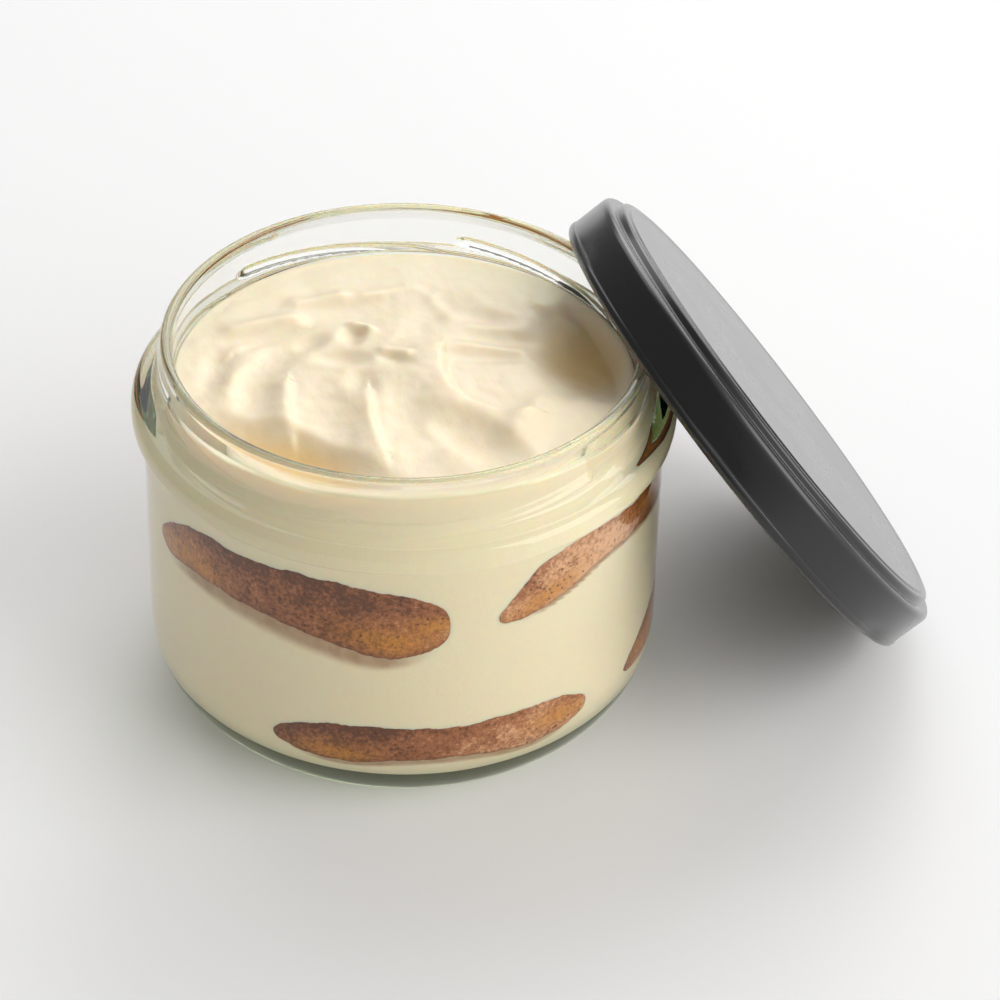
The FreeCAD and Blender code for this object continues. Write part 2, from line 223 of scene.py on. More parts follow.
# ---- material graphs
class Graph:
    """The node tree of a material or a world, with short ways to add nodes and to join them."""

    def __init__(self, name: str, world: bool = False) -> None:
        """Starts an empty material of that name, or an empty world."""
        self.owner = (bpy.data.worlds if world else bpy.data.materials).new(name)
        self.owner.use_nodes = True
        self.tree = self.owner.node_tree
        self.tree.nodes.clear()
        self.output = self.node("OutputWorld" if world else "OutputMaterial")

    def node(self, kind: str, **inputs: object) -> bpy.types.Node:
        """Adds a node.

        Args:
            kind: Blender's name of the node type, without its prefix.
            inputs: Values or sockets by input name, with underscores for spaces.

        Returns:
            The new node.
        """
        made = self.tree.nodes.new("ShaderNode" + kind)
        for key, value in inputs.items():
            self.feed(made.inputs[key.replace("_", " ")], value)
        return made

    def principled(self, **inputs: object) -> bpy.types.Node:
        """Adds the main surface shader."""
        return self.node("BsdfPrincipled", **inputs)

    def feed(self, target: Socket, value: object) -> None:
        """Joins a socket to an input, or sets the input's own value."""
        if isinstance(value, Socket):
            self.tree.links.new(value, target)
        elif isinstance(value, tuple) and len(value) == 3 and target.type == "RGBA":
            target.default_value = (*value, 1.0)
        else:
            target.default_value = value

    def coords(self) -> Socket:
        """Object coordinates."""
        return self.node("TexCoord").outputs["Object"]

    def attribute(self, name: str) -> Socket:
        """A number stored on the mesh's points."""
        made = self.node("Attribute")
        made.attribute_name = name
        return made.outputs["Fac"]

    def stretched(self, scale: Tuple[float, float, float]) -> Socket:
        """Object coordinates, scaled by axis."""
        return self.node("Mapping", Vector=self.coords(), Scale=scale).outputs["Vector"]

    def noise(
        self,
        scale: float,
        detail: float = 2.0,
        roughness: float = 0.5,
        vector: Optional[Socket] = None,
    ) -> Socket:
        """Noise from 0 to 1, with so many waves per metre of the object or of other coordinates."""
        made = self.node("TexNoise", Vector=vector or self.coords(), Scale=scale, Detail=detail,
                         Roughness=roughness)
        return made.outputs["Fac"]

    def cells(self, scale: float) -> Socket:
        """Distance from the middles of small cells, as of pores and bubbles."""
        return self.node("TexVoronoi", Vector=self.coords(), Scale=scale).outputs["Distance"]

    def remap(
        self,
        value: Socket,
        low: float,
        high: float,
        start: float = 0.0,
        end: float = 1.0,
    ) -> Socket:
        """A value's range from low to high, spread smoothly from start to end."""
        made = self.node("MapRange", Value=value, From_Min=low, From_Max=high,
                         To_Min=start, To_Max=end)
        made.interpolation_type = "SMOOTHSTEP"
        return made.outputs["Result"]

    def math(self, operation: str, first: object, second: object) -> Socket:
        """One sum on two values."""
        made = self.node("Math")
        made.operation = operation
        self.feed(made.inputs[0], first)
        self.feed(made.inputs[1], second)
        return made.outputs[0]

    def times(self, first: object, second: object) -> Socket:
        """Two values multiplied."""
        return self.math("MULTIPLY", first, second)

    def mix(self, share: object, first: object, second: object) -> Socket:
        """Colour between two colours."""
        made = self.node("Mix")
        made.data_type = "RGBA"
        self.feed(made.inputs["Factor"], share)
        self.feed(made.inputs[6], first)
        self.feed(made.inputs[7], second)
        return made.outputs[2]

    def bump(self, height: Socket, depth: float, below: Optional[Socket] = None) -> Socket:
        """Normal of a relief so many millimetres deep, on top of another normal if one is given."""
        made = self.node("Bump", Height=height, Strength=1.0, Distance=depth * MM)
        if below is not None:
            self.feed(made.inputs["Normal"], below)
        return made.outputs["Normal"]

    def end(self, surface: bpy.types.Node) -> bpy.types.ID:
        """Joins the last shader to the output and gives the finished material or world."""
        self.feed(self.output.inputs["Surface"], surface.outputs[0])
        return self.owner


@dataclass(frozen=True)
class GlassFinish:
    """Clear soda-lime glass, faintly green where it is thick."""

    index: float = 1.5
    tint: Colour = (0.60, 0.78, 0.50)
    density: float = 20.0
    shade: Colour = (0.96, 0.975, 0.95)
    waves: float = 90.0
    wave_depth: float = 0.05

    def build(self) -> bpy.types.Material:
        """Glass that lets lamps and soft light through to what it holds."""
        graph = Graph("clear_glass")
        waves = graph.noise(self.waves, 1.0, 0.4, graph.stretched((1.0, 1.0, 1.8)))
        glass = graph.principled(
            Base_Color=(1.0, 1.0, 1.0), Roughness=0.0, IOR=self.index, Transmission_Weight=1.0,
            Normal=graph.bump(waves, self.wave_depth))
        clear = graph.node("BsdfTransparent", Color=self.shade)
        path = graph.node("LightPath")
        for ray in ("Is Shadow Ray", "Is Diffuse Ray"):
            mixed = graph.node("MixShader", Fac=path.outputs[ray])
            graph.feed(mixed.inputs[1], glass.outputs[0])
            graph.feed(mixed.inputs[2], clear.outputs[0])
            glass = mixed
        depth = graph.node("VolumeAbsorption", Color=self.tint, Density=self.density)
        graph.feed(graph.output.inputs["Volume"], depth.outputs[0])
        return graph.end(glass)


@dataclass(frozen=True)
class CreamFinish:
    """Soft mascarpone cream: light scatters in it, and painted shade turns it golden in its
    hollows.
    """

    light: Colour = (0.905, 0.775, 0.565)
    # colour of the painted shade in the cream's hollows and in the bowl under the leaning cap
    painted_shade_colour: Colour = (0.82, 0.58, 0.25)
    soaked: Colour = (0.47, 0.28, 0.15)
    scatter: float = 1.3
    spread: Colour = (1.0, 0.62, 0.28)

    def build(self) -> bpy.types.Material:
        """Cream with painted golden shade in its hollows and its soaked bands beside the
        ladyfingers.
        """
        graph = Graph("mascarpone_cream")
        # painted shade: deep gold where the top lies below its plain level, in place of the shade
        # in its hollows
        colour = graph.mix(graph.attribute("painted_hollow_shade"), self.light, self.painted_shade_colour)
        patchy = graph.remap(graph.noise(420.0, 3.0, 0.6), 0.25, 0.75, 0.75, 1.0)
        soak = graph.times(graph.attribute("soak"), patchy)
        colour = graph.mix(soak, colour, self.soaked)
        grain = graph.bump(graph.noise(2600.0, 3.0, 0.6), 0.02)
        smears = graph.noise(700.0, 2.0, 0.5, graph.stretched((1.0, 0.45, 1.0)))
        cream = graph.principled(
            Base_Color=colour, Roughness=0.42, IOR=1.45, Subsurface_Weight=1.0,
            Subsurface_Scale=self.scatter * MM, Subsurface_Radius=self.spread,
            Normal=graph.bump(smears, 0.07, grain))
        return graph.end(cream)


@dataclass(frozen=True)
class LadyfingerFinish:
    """Ladyfinger soaked in coffee: brown, mottled and finely porous."""

    dark: Colour = (0.15, 0.048, 0.02)
    brown: Colour = (0.40, 0.135, 0.05)
    pale: Colour = (0.86, 0.47, 0.26)
    gold: Colour = (0.66, 0.26, 0.03)
    pore: Colour = (0.14, 0.04, 0.016)

    def build(self) -> bpy.types.Material:
        """Wet sponge, darker along its top and golden in patches."""
        graph = Graph("soaked_ladyfinger")
        clouds = graph.math("SUBTRACT", graph.noise(260.0, 3.0, 0.6), 0.5)
        grain = graph.math("SUBTRACT", graph.noise(1400.0, 5.0, 0.75), 0.5)
        tone = graph.math("ADD", graph.times(clouds, 1.1), graph.attribute("pale"))
        tone = graph.math("ADD", graph.times(grain, 2.3), tone)
        top = graph.times(graph.attribute("top"), 0.3)
        tone = graph.math("SUBTRACT", tone, top)
        colour = graph.mix(graph.remap(tone, -0.15, 0.4), self.dark, self.brown)
        colour = graph.mix(graph.remap(tone, 0.35, 1.15), colour, self.pale)
        speckled = graph.remap(grain, -0.12, 0.12, 0.35, 1.0)
        golden = graph.times(graph.attribute("gold"), speckled)
        colour = graph.mix(golden, colour, self.gold)
        pores = graph.remap(graph.cells(1150.0), 0.1, 0.36, 1.0, 0.0)
        spread = graph.remap(graph.noise(420.0, 2.0), 0.45, 0.62)
        pitted = graph.times(pores, spread)
        colour = graph.mix(graph.times(pitted, 0.75), colour, self.pore)
        colour = graph.mix(graph.times(graph.attribute("rim"), 0.7), colour, self.dark)
        relief = graph.bump(graph.math("SUBTRACT", 1.0, pitted), 0.2, graph.bump(grain, 0.25))
        sponge = graph.principled(Base_Color=colour, Roughness=0.6, IOR=1.4,
                                  Specular_IOR_Level=0.12, Normal=relief)
        return graph.end(sponge)


@dataclass(frozen=True)
class LacquerFinish:
    """Satin black lacquer on pressed tinplate."""

    colour: Colour = (0.002, 0.0023, 0.0028)
    roughness: float = 0.28
    uneven: float = 0.01
    coat: float = 0.45
    coat_roughness: float = 0.2
    bloom: float = 0.12
    bloom_tint: Colour = (0.92, 0.94, 1.0)

    def build(self) -> bpy.types.Material:
        """Black with a fine orange peel."""
        graph = Graph("satin_lacquer")
        peel = graph.bump(graph.noise(2400.0, 2.0, 0.5), 0.004)
        patches = graph.remap(graph.noise(60.0, 3.0), 0.3, 0.7,
                              self.roughness - self.uneven, self.roughness + self.uneven)
        lacquer = graph.principled(
            Base_Color=self.colour, IOR=1.5, Normal=peel, Roughness=patches,
            Coat_Weight=self.coat, Coat_Roughness=self.coat_roughness,
            Sheen_Weight=self.bloom, Sheen_Roughness=0.2, Sheen_Tint=self.bloom_tint)
        return graph.end(lacquer)


@dataclass(frozen=True)
class SealFinish:
    """Soft matt sealing compound inside the cap."""

    colour: Colour = (0.025, 0.025, 0.028)

    def build(self) -> bpy.types.Material:
        """Dark compound with a slight grain."""
        graph = Graph("sealing_compound")
        grain = graph.noise(1800.0, 3.0, 0.6)
        colour = graph.mix(grain, self.colour, tuple(1.6 * part for part in self.colour))
        compound = graph.principled(Base_Color=colour, Roughness=0.62,
                                    Normal=graph.bump(grain, 0.02))
        return graph.end(compound)


@dataclass(frozen=True)
class FloorFinish:
    """Plain pale studio floor."""

    colour: Colour = (0.90, 0.90, 0.905)
    shade: Colour = (0.8, 0.8, 0.8)

    def build(self) -> bpy.types.Material:
        """Matt white with hardly any sheen."""
        graph = Graph("studio_floor")
        tone = graph.remap(graph.noise(3.0, 2.0), 0.3, 0.7, 0.0, 0.02)
        floor = graph.principled(Roughness=0.6, Specular_IOR_Level=0.25,
                                 Base_Color=graph.mix(tone, self.colour, self.shade))
        return graph.end(floor)


# ---- jar
@dataclass
class JarShape:
    """Sizes of the glass jar, and the outlines that follow from them."""

    height: float = 64.7
    base_radius: float = 42.2
    wall_taper: float = 0.9
    heel_radius: float = 12.0
    ring_radius: float = 27.2
    push_up: float = 2.1
    wall: float = 2.4
    floor: float = 6.2
    floor_crown: float = 0.6
    inner_heel: float = 8.0
    draw_in_drop: float = 15.15
    neck_drop: float = 9.0
    draw_in_round: float = 5.0
    neck_wall: float = 2.4
    bead_proud: float = 1.8
    bead_drop: float = 9.75
    bead_height: float = 5.0
    bead_flank: float = 1.4
    neck_step: float = 2.7
    lip_step: float = 0.5
    lip_height: float = 1.4
    lip_taper: float = 1.8
    lip_wall: float = 1.8

    @property
    def shoulder_radius(self) -> float:
        """Outside radius just under the bead."""
        return self.base_radius - self.wall_taper

    @property
    def neck_radius(self) -> float:
        """Outside radius of the neck."""
        return self.shoulder_radius - self.neck_step

    @property
    def neck_bore(self) -> float:
        """Inside radius of the neck."""
        return self.neck_radius - self.neck_wall

    def outside(self) -> List[Corner]:
        """Outer outline, from the middle of the base to the inner edge of the lip."""
        bead_radius = self.shoulder_radius + self.bead_proud
        bead_top = self.height - self.bead_drop
        foot = bead_top - self.bead_height
        lip = self.neck_radius - self.lip_step
        lip_foot = self.height - self.lip_height
        return [
            Corner(0.0, self.push_up),
            Corner(self.ring_radius - 3.0, self.push_up - 0.6, 3.0),
            Corner(self.ring_radius, 0.0, 1.0),
            Corner(self.base_radius, 0.0, self.heel_radius),
            Corner(self.shoulder_radius, foot, 0.9),
            Corner(bead_radius, foot + self.bead_flank, 1.6),
            Corner(bead_radius, bead_top, 2.0),
            Corner(self.neck_radius, bead_top + 0.15, 0.9),
            Corner(self.neck_radius, lip_foot - self.lip_taper, self.lip_taper),
            Corner(lip, lip_foot, self.lip_step),
            Corner(lip, self.height, 0.49 * self.lip_wall),
            Corner(lip - self.lip_wall, self.height, 0.49 * self.lip_wall),
        ]

    def inside(self, grow: float = 0.0) -> List[Corner]:
        """Inner outline from the middle of the floor up to the neck, moved into the glass."""
        return [
            Corner(0.0, self.floor + self.floor_crown - grow),
            Corner(self.base_radius - self.wall + grow, self.floor - grow, self.inner_heel),
            Corner(self.shoulder_radius - self.wall + grow, self.height - self.draw_in_drop,
                   self.draw_in_round),
            Corner(self.neck_bore + grow, self.height - self.neck_drop, self.draw_in_round),
        ]


class Interior:
    """The space inside the jar, read as a radius at each height."""

    def __init__(self, shape: JarShape) -> None:
        """Samples the inner outline of a jar."""
        corners = shape.inside() + [Corner(shape.neck_bore, shape.height)]
        wire = outline_mesh(corners, False, lambda point: 1.0, 24)
        points = sorted((vert.co.z, vert.co.x) for vert in wire.verts)
        wire.free()
        floor = shape.floor + shape.floor_crown
        self.points = [point for point in points if point[0] > floor or point[1] > 20.0]

    def radius(self, height: float) -> float:
        """Inner radius of the glass at a height, in millimetres."""
        points = self.points
        if height <= points[0][0]:
            return points[0][1]
        low, high = 0, len(points) - 1
        while high - low > 1:
            middle = (low + high) // 2
            if points[middle][0] <= height:
                low = middle
            else:
                high = middle
        (z0, r0), (z1, r1) = points[low], points[high]
        share = min(1.0, (height - z0) / max(z1 - z0, 1e-6))
        return r0 + share * (r1 - r0)


@dataclass
class JarGlass:
    """The glass jar: base, wall, transfer bead and neck turned in one, with six thread ribs."""

    shape: JarShape
    finish: GlassFinish = field(default_factory=GlassFinish)
    steps: int = 360
    thread_starts: int = 6
    thread_first: float = 3.0
    thread_span: float = 67.0
    thread_top: float = 57.9
    thread_fall: float = 3.7
    thread_proud: float = 1.2
    thread_half: float = 1.15
    thread_lead: float = 0.05
    thread_fade: float = 0.7
    thread_loss: float = 0.75
    fine_spacing: float = 0.22
    coarse_spacing: float = 2.0

    def thread_rise(self, degrees: float, height: float) -> float:
        """How far a thread stands out of the neck, 0 between the threads."""
        rise = 0.0
        pitch = 360.0 / self.thread_starts
        for number in range(self.thread_starts):
            start = self.thread_first + number * pitch
            share = ((start - degrees) % 360.0) / self.thread_span
            if share > 1.0:
                continue
            size = smooth_step(0.0, self.thread_lead, share)
            size *= 1.0 - self.thread_loss * smooth_step(self.thread_fade, 1.0, share)
            middle = self.thread_top - share * self.thread_fall
            half = self.thread_half * (0.55 + 0.45 * size)
            off = abs(height - middle) / half
            if off < 1.0:
                rise = max(rise, self.thread_proud * size * (1.0 - off * off) ** 1.5)
        return rise

    def build(self, place: Matrix) -> bpy.types.Object:
        """Makes the glass as one closed mesh, with the jar's axes at a place in the frame."""
        shape = self.shape
        foot, top = shape.height - shape.bead_drop - 0.5, shape.height - 4.5

        def threaded(height: float, radius: float) -> bool:
            return foot < height < top and radius > shape.neck_bore + 1.0

        def spacing(point: Vector) -> float:
            return self.fine_spacing if threaded(point.z, point.x) else self.coarse_spacing

        corners = shape.outside() + shape.inside()[::-1]
        bm = outline_mesh(corners, False, spacing, 8)
        turn_outline(bm, self.steps)
        for vert in bm.verts:
            radius = vert.co.xy.length
            if threaded(vert.co.z, radius):
                degrees = math.degrees(math.atan2(vert.co.y, vert.co.x))
                wanted = shape.neck_radius + self.thread_rise(degrees, vert.co.z)
                if wanted > radius:
                    vert.co.xy *= wanted / radius
        return finished(bm, "jar_body", self.finish.build(), place, ["jar_glass"])


# ---- ladyfingers
class Layer(Enum):
    """The two layers of ladyfingers, by the height of their middle."""

    LOWER = 15.2
    UPPER = 40.6


@dataclass(frozen=True)
class FingerShape:
    """How one soaked ladyfinger lies along the glass, and how it is toasted.

    Heights are from its layer's middle and thicknesses are whole, both at even steps from its
    start to its end, as its paleness from 0 to 1 is. A golden patch has a place along the finger,
    a place across it from -1 to 1, and a size in millimetres. The soak is how far its coffee has
    run down the glass below it.
    """

    node: str
    layer: Layer
    start: float
    end: float
    heights: Tuple[float, ...]
    thicknesses: Tuple[float, ...]
    paleness: Tuple[float, ...] = (0.35, 0.5, 0.4, 0.5, 0.35)
    gold: Tuple[Tuple[float, float, float], ...] = ((0.2, -0.3, 5.0), (0.75, -0.1, 5.0))
    tips: Tuple[float, float] = (2.6, 2.6)
    soak: float = 0.8

    def share(self, degrees: float) -> float:
        """Place of an angle along the finger, from 0 at its start to 1 at its end."""
        middle = (self.start + self.end) / 2.0
        return 0.5 + turn_between(middle, degrees) / (self.end - self.start)

    def length(self) -> float:
        """Its length along the glass, in millimetres."""
        return math.radians(self.end - self.start) * GLASS_RADIUS

    def middle_height(self, share: float) -> float:
        """Height of its middle at a place along it."""
        return self.layer.value + along_values(self.heights, share)

    def half_height(self, share: float) -> float:
        """Half its thickness at a place along it, drawn in at its tips."""
        centred = 2.0 * share - 1.0
        if abs(centred) >= 1.0:
            return 0.0
        tip = self.tips[0] if centred < 0.0 else self.tips[1]
        drawn = (1.0 - abs(centred) ** (2.0 * tip)) ** (1.0 / min(tip, 2.4))
        return along_values(self.thicknesses, share) / 2.0 * drawn

    def golden(self, share: float, across: float) -> float:
        """How golden its crust is at a place, from 0 to 1."""
        half = max(self.half_height(share), 0.5)
        most = 0.0
        for place, level, size in self.gold:
            along = (share - place) * self.length() / (1.6 * size)
            up = (across - level) * half / (0.55 * size)
            most = max(most, math.exp(-along * along - up * up))
        return most


FINGERS = (
    FingerShape("biscuit_upper_left", Layer.UPPER, -172.0, -94.6, (-3.0, 0.2, 0.6, 0.2, -1.6, -2.0),
                (9.6, 10.2, 10.2, 12.4, 14.2, 13.4), (0.55, 0.4, 0.22, 0.15, 0.25, 0.5),
                ((0.1, -0.3, 5.0), (0.22, -0.5, 3.0), (0.84, -0.45, 4.5), (0.95, 0.1, 2.5)),
                (2.2, 3.2), 3.2),
    FingerShape("biscuit_upper_right", Layer.UPPER, -83.6, -8.0,
                (-2.2, 1.3, 3.2, 4.2, 3.7, 3.2, 2.8, 2.2, 1.8),
                (7.4, 10.8, 9.6, 7.4, 6.6, 7.2, 8.6, 9.6, 10.4),
                (0.6, 0.75, 0.95, 1.0, 0.7, 0.2, 0.15, 0.3, 0.4),
                ((0.16, -0.5, 3.6), (0.7, 0.0, 4.0)), (2.2, 2.6), 0.5),
    FingerShape("biscuit_upper_back_right", Layer.UPPER, 3.0, 80.0, (1.0, 0.2, -0.4, 0.0, 0.8),
                (12.6, 11.2, 11.0, 11.8, 13.4), soak=1.4),
    FingerShape("biscuit_upper_back_left", Layer.UPPER, 92.0, 166.0, (-0.2, 1.0, 1.2, 0.8, 0.2),
                (13.8, 11.8, 11.4, 12.0, 12.6), soak=1.8),
    FingerShape("biscuit_lower_front", Layer.LOWER, -134.4, -59.6,
                (-1.9, -1.0, -0.3, -0.4, -0.8, -1.0), (8.6, 9.4, 7.6, 7.4, 9.6, 9.2),
                (0.1, 0.15, 0.25, 0.5, 0.75, 0.7),
                ((0.2, -0.5, 3.6), (0.9, 0.0, 3.6)), (2.0, 2.2), 1.2),
    FingerShape("biscuit_lower_right", Layer.LOWER, -45.0, 29.0, (-2.0, 0.4, 1.0, 0.6, -0.2),
                (9.0, 10.0, 10.4, 11.0, 12.0), tips=(1.6, 2.6)),
    FingerShape("biscuit_lower_back", Layer.LOWER, 41.0, 102.0, (0.2, -0.4, -0.6, -0.2, 0.4),
                (12.0, 10.8, 10.2, 10.8, 11.4)),
    FingerShape("biscuit_lower_left", Layer.LOWER, 113.0, 166.0, (-0.2, 0.4, 0.6, 0.3, -0.2),
                (11.4, 10.4, 10.0, 11.0, 12.0)),
)


@dataclass
class Ladyfinger:
    """One ladyfinger, bent round inside the glass and pressed flat against it."""

    shape: FingerShape
    interior: Interior
    material: bpy.types.Material
    depth: float = 17.0
    into_glass: float = 0.12
    rings: int = 200
    sides: int = 96
    face_power: float = 0.32
    edge_power: float = 0.45
    pressed: float = 1.2
    pitting: float = 0.05
    ragged: float = 0.3

    def edge_noise(self, share: float, upward: bool) -> float:
        """Unevenness of its upper or lower edge, in millimetres."""
        side = 3.7 if upward else 9.1
        place = Vector((share * self.shape.length(), side, self.shape.start))
        coarse, fine = noise.noise(place * 0.35), noise.noise(place * 1.4)
        return self.ragged * (1.3 * coarse + 0.7 * fine)

    def build(self, place: Matrix) -> bpy.types.Object:
        """Makes the ladyfinger as one closed mesh, bent out of a ball whose poles are its tips."""
        shape = self.shape
        bm = bmesh.new()
        bmesh.ops.create_uvsphere(bm, u_segments=self.sides, v_segments=self.rings, radius=1.0)
        for name in ("top", "pale", "gold", "rim"):
            bm.verts.layers.float.new(name)
        top, pale, gold, rim = bm.verts.layers.float.values()
        for vert in bm.verts:
            share = (vert.co.z + 1.0) / 2.0
            turn = math.atan2(vert.co.y, vert.co.x)
            out, up = math.cos(turn), math.sin(turn)
            out = math.copysign(abs(out) ** self.face_power, out)
            up = math.copysign(abs(up) ** self.edge_power, up)
            half = shape.half_height(share)
            half += self.edge_noise(share, up > 0.0) * min(1.0, half / 1.5)
            height = shape.middle_height(share) + up * half
            wall = self.interior.radius(height) + self.into_glass
            slim = min(1.0, half / 2.0)
            radius = wall + self.pressed - self.depth * slim * (1.0 - out) / 2.0
            degrees = shape.start + share * (shape.end - shape.start)
            dent = noise.noise(Vector((degrees * 0.5, height * 0.9, 4.0)))
            radius = min(radius, wall) - self.pitting * max(0.0, dent)
            angle = math.radians(degrees)
            vert[top] = smooth_step(-0.2, 0.95, up * min(1.0, half / 3.0))
            vert[pale] = along_values(shape.paleness, share)
            vert[gold] = shape.golden(share, up)
            tip = 1.25 - half / 2.0 if half < 2.0 else 0.0
            vert[rim] = smooth_step(0.72, 1.0, max(-up, 0.6 * up, tip))
            vert.co = (radius * math.cos(angle), radius * math.sin(angle), height)
        bmesh.ops.remove_doubles(bm, verts=bm.verts, dist=1e-4)
        bmesh.ops.recalc_face_normals(bm, faces=bm.faces)
        name = shape.node.replace("biscuit", "finger")
        return finished(bm, name, self.material, place, [shape.node])


# ---- cream
@dataclass(frozen=True)
class Scoop:
    """A spoon's hollow in the cream: an oblong dish with a crisp rim."""

    x: float
    y: float
    turn: float
    half_length: float
    half_width: float
    depth: float

    def height(self, x: float, y: float) -> float:
        """The dish's height over a point, below 0 inside its rim and above 0 outside."""
        angle = math.radians(self.turn)
        dx, dy = x - self.x, y - self.y
        along = (dx * math.cos(angle) + dy * math.sin(angle)) / self.half_length
        across = (dy * math.cos(angle) - dx * math.sin(angle)) / self.half_width
        return self.depth * (along * along + across * across - 1.0)


@dataclass(frozen=True)
class Ridge:
    """A soft ridge, or a groove if its height is below 0, along a line on the cream."""

    x0: float
    y0: float
    x1: float
    y1: float
    half_width: float
    rise: float

    def height(self, x: float, y: float) -> float:
        """What it adds over a point."""
        dx, dy = self.x1 - self.x0, self.y1 - self.y0
        along = ((x - self.x0) * dx + (y - self.y0) * dy) / (dx * dx + dy * dy)
        along = min(1.0, max(0.0, along))
        off = math.hypot(x - self.x0 - along * dx, y - self.y0 - along * dy)
        return self.rise * bell(off, self.half_width)


@dataclass(frozen=True)
class Scarp:
    """The crisp edge of a spooned plate: a step up across a line, which then falls back gently.

    The high side lies to the right of the way along the line.
    """

    points: Tuple[Tuple[float, float], ...]
    rise: float
    edge: float = 0.9
    fall: float = 7.0
    ends: float = 3.0

    def height(self, x: float, y: float) -> float:
        """What it adds over a point."""
        best, side, fade = 1e9, 0.0, 0.0
        last = len(self.points) - 2
        for index, ((x0, y0), (x1, y1)) in enumerate(zip(self.points, self.points[1:])):
            dx, dy = x1 - x0, y1 - y0
            length = math.hypot(dx, dy)
            along = ((x - x0) * dx + (y - y0) * dy) / length
            held = min(length, max(0.0, along))
            off = math.hypot(x - x0 - held * dx / length, y - y0 - held * dy / length)
            if off < best:
                best = off
                side = math.copysign(off, (x - x0) * dy - (y - y0) * dx)
                beyond = -along if index == 0 else 0.0
                beyond = max(beyond, along - length if index == last else 0.0)
                fade = bell(max(0.0, beyond), self.ends)
        step = smooth_step(-self.edge, self.edge, side)
        return self.rise * fade * step * bell(max(0.0, side), self.fall)


SCOOPS = tuple(Scoop(*sizes) for sizes in (
    (-23.0, -19.0, -47.0, 19.0, 7.0, 3.4),
    (-14.0, -11.5, 84.0, 10.0, 5.6, 0.9),
    (-24.5, -2.5, 76.0, 10.0, 3.8, 0.9),
    (-2.5, -16.0, 86.0, 14.0, 4.6, 0.8),
    (5.0, -22.0, -58.0, 10.0, 5.0, 1.7),
    (21.5, 3.8, -16.0, 12.5, 3.4, 1.4),
    (13.5, 0.0, -12.0, 8.5, 2.4, 0.9),
    (31.0, -1.0, 78.0, 16.0, 12.0, 3.2),
    (26.0, -11.0, 30.0, 5.0, 2.6, 1.0),
    (-13.0, 11.0, 30.0, 3.8, 2.4, 1.0),
    (-6.0, 10.6, 70.0, 3.4, 2.1, 1.1),
    (-9.0, 4.2, -20.0, 4.4, 2.4, 1.0),
    (-8.2, -4.0, 80.0, 4.0, 2.6, 0.9),
    (-1.5, 1.0, -50.0, 3.0, 1.8, 0.9),
    (-18.0, 9.0, 60.0, 6.0, 3.2, 0.8),
    (9.0, 16.0, 40.0, 6.5, 4.2, 0.9),
    (16.0, 12.0, -30.0, 5.0, 2.6, 0.8),
    (-19.0, 14.5, 12.0, 8.0, 2.8, 0.8),
    (-1.5, 18.0, -8.0, 10.0, 3.6, 0.7),
    (-29.0, 6.0, 70.0, 7.0, 2.6, 0.8),
))

SCARPS = (
    Scarp(((6.8, 1.6), (5.4, -3.0), (5.3, -9.0), (7.0, -13.0), (10.5, -16.2), (14.5, -17.2)),
          1.3, 1.0, 9.0),
    Scarp(((-7.2, -6.0), (-8.4, -14.0), (-8.8, -22.0)), 0.8, 1.1, 5.0),
    Scarp(((-18.6, -1.0), (-20.0, -7.0), (-20.8, -13.0)), 0.8, 1.1, 5.0),
    Scarp(((-22.5, 7.0), (-25.5, 3.5), (-27.5, -2.0)), 0.5, 1.0, 4.0),
    Scarp(((-14.0, 15.2), (-20.0, 13.6), (-25.0, 10.6)), 0.5, 1.0, 4.0),
)

RIDGES = (
    Ridge(-24.0, 17.5, -14.0, 18.5, 2.0, 0.7),
    Ridge(-12.0, 23.0, -5.0, 23.6, 1.8, 0.7),
    Ridge(-1.0, 22.8, 7.0, 23.4, 1.6, 0.5),
    Ridge(-5.0, 14.0, -3.0, 11.6, 1.1, 0.8),
    Ridge(-2.4, 4.0, 0.6, 2.0, 1.0, 0.5),
    Ridge(9.5, 19.6, 10.6, 14.0, 1.7, 0.5),
    Ridge(11.0, -22.0, 18.0, -14.5, 1.9, 0.5),
    Ridge(26.0, 14.0, 31.0, 8.0, 1.2, 0.5),
)


